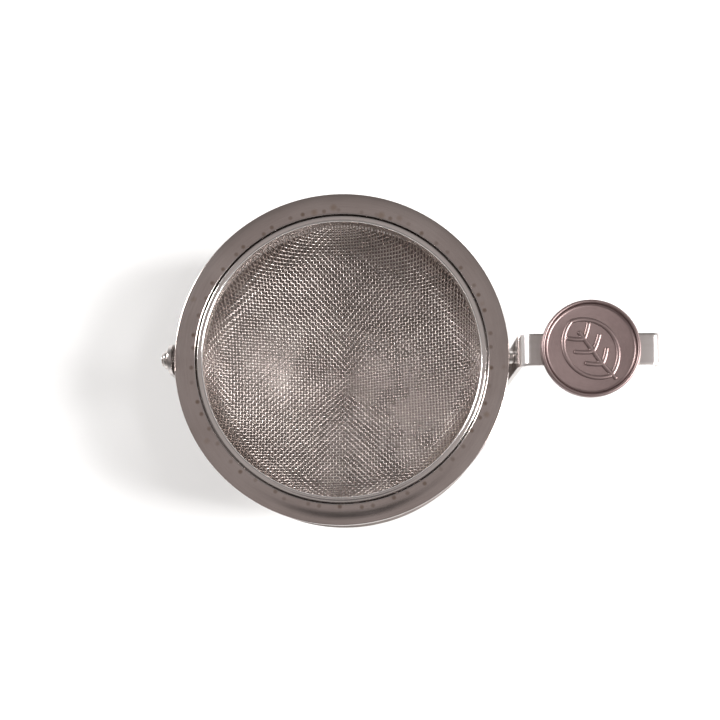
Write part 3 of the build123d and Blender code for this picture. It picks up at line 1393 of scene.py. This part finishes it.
SOFTBOXES = (
    Softbox("key_right", (1.16, -0.08, 0.94), 0.46, 0.75, 33.0),
    Softbox("softbox_back_left", (-0.90, 0.52, 0.86), 0.34, 0.42, 14.0),
)


@dataclass
class Studio:
    """Pale table, soft lights and the camera."""

    rim_top: float
    camera_height: float = 176.0 * MM
    camera_foot: Point2 = (9.65 * MM, -36.2 * MM)
    aim: Point2 = (3.76 * MM, -23.25 * MM)
    view_width: float = 140.0 * MM
    frame_shift: float = 0.16
    sensor: float = 36.0
    near_clip: float = 0.01
    far_clip: float = 20.0
    table_size: float = 3.0
    table_gap: float = 0.2 * MM
    table_tone: Colour = (0.90, 0.90, 0.895)
    table_roughness: float = 0.55
    lamp_target: Point3 = (0.0, 0.0, 0.03)
    dark_cone: float = 4.2
    dark_fade: float = 0.5
    dark_lean: Point2 = (-0.04, 0.02)
    dark_tone: Colour = (0.03, 0.03, 0.03)

    def build(self) -> None:
        """Build the camera, the table, the lights and the room's glow."""
        self._camera()
        self._table()
        for box in SOFTBOXES:
            self._light(box)
        self._room()

    def _camera(self) -> None:
        """Camera above the front of the rim, looking nearly straight down."""
        data = bpy.data.cameras.new("camera")
        camera = bpy.data.objects.new("camera", data)
        bpy.context.scene.collection.objects.link(camera)
        place = Vector((*self.camera_foot, self.rim_top + self.camera_height))
        target = Vector((*self.aim, self.rim_top))
        camera.location = place
        backwards = (place - target).normalized()
        sideways = Vector((0.0, 1.0, 0.0)).cross(backwards).normalized()
        axes = Matrix((sideways, backwards.cross(sideways), backwards)).transposed()
        camera.rotation_euler = axes.to_euler()
        reach = (target - place).length
        data.sensor_width = self.sensor
        data.lens = self.sensor * reach / self.view_width
        data.shift_y = self.frame_shift
        data.clip_start, data.clip_end = self.near_clip, self.far_clip
        bpy.context.scene.camera = camera

    def _table(self) -> None:
        """Large matt white table top, a hair below the bowl's base."""
        bpy.ops.object.select_all(action="DESELECT")
        bpy.ops.mesh.primitive_plane_add(size=self.table_size, location=(0.0, 0.0, -self.table_gap))
        table = bpy.context.object
        table.name = "table_top"
        white = bpy.data.materials.new("table_white")
        white.use_nodes = True
        shader = white.node_tree.nodes["Principled BSDF"]
        shader.inputs["Base Color"].default_value = (*self.table_tone, 1.0)
        shader.inputs["Roughness"].default_value = self.table_roughness
        table.data.materials.append(white)

    def _light(self, box: Softbox) -> None:
        """Put up a softbox aimed at the infuser.

        Args:
            box: The softbox.
        """
        data = bpy.data.lights.new(box.name, "AREA")
        data.shape = "RECTANGLE"
        data.size, data.size_y = box.width, box.height
        data.energy = box.power
        lamp = bpy.data.objects.new(box.name, data)
        bpy.context.scene.collection.objects.link(lamp)
        lamp.location = box.place
        aim = Vector(self.lamp_target) - Vector(box.place)
        lamp.rotation_euler = aim.to_track_quat("-Z", "Y").to_euler()

    def _room(self) -> None:
        """Room glow: pale at the horizon, dim higher up, warmer near the top, and a small dark spot.

        The dark spot stands almost straight above, where the near side of the rim mirrors it.
        """
        world = bpy.data.worlds.new("studio_room")
        bpy.context.scene.world = world
        world.use_nodes = True
        graph = NodeGraph(world.node_tree)
        glow = world.node_tree.nodes["Background"]
        direction = graph.add("ShaderNodeTexCoord").outputs["Generated"]
        split = graph.add("ShaderNodeSeparateXYZ")
        graph.link(direction, split.inputs["Vector"])
        ramp = graph.add("ShaderNodeValToRGB")
        stops = ramp.color_ramp.elements
        for stop, (position, tone) in zip(stops, (GLOW_STOPS[0], GLOW_STOPS[-1])):
            stop.position, stop.color = position, (*tone, 1.0)
        for position, tone in GLOW_STOPS[1:-1]:
            stops.new(position).color = (*tone, 1.0)
        graph.link(split.outputs["Z"], ramp.inputs["Fac"])
        towards = graph.add("ShaderNodeVectorMath")
        towards.operation = "DOT_PRODUCT"
        towards.inputs[1].default_value = Vector((*self.dark_lean, 1.0)).normalized()
        graph.link(direction, towards.inputs[0])
        spot = graph.fade(towards.outputs["Value"],
                          math.cos(math.radians(self.dark_cone + self.dark_fade)),
                          math.cos(math.radians(self.dark_cone)))
        room = graph.mixed("MIX", spot, ramp.outputs["Color"], self.dark_tone)
        graph.link(room, glow.inputs["Color"])
        glow.inputs["Strength"].default_value = 1.0
        bpy.context.scene.view_settings.view_transform = "Standard"


def main() -> None:
    """Build the studio and every piece."""
    logging.basicConfig(level=logging.INFO, format="%(name)s: %(message)s")
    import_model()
    shop = Workshop()
    disc_low, disc_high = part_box("thumb_disc")
    finishes = Finishes.make((disc_low[0] + disc_high[0]) / 2)
    _rim_low, rim_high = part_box("rim_face_ring")
    Studio(rim_high[2]).build()
    log.info("studio ready")
    for sub_assembly in (Rim, WovenBowl, Pivots, DripBowl, Arms, ThumbDisc):
        sub_assembly(shop, finishes).build()
        log.info("%s built", sub_assembly.__name__)
    shop.clear()


if __name__ == "__main__":
    main()
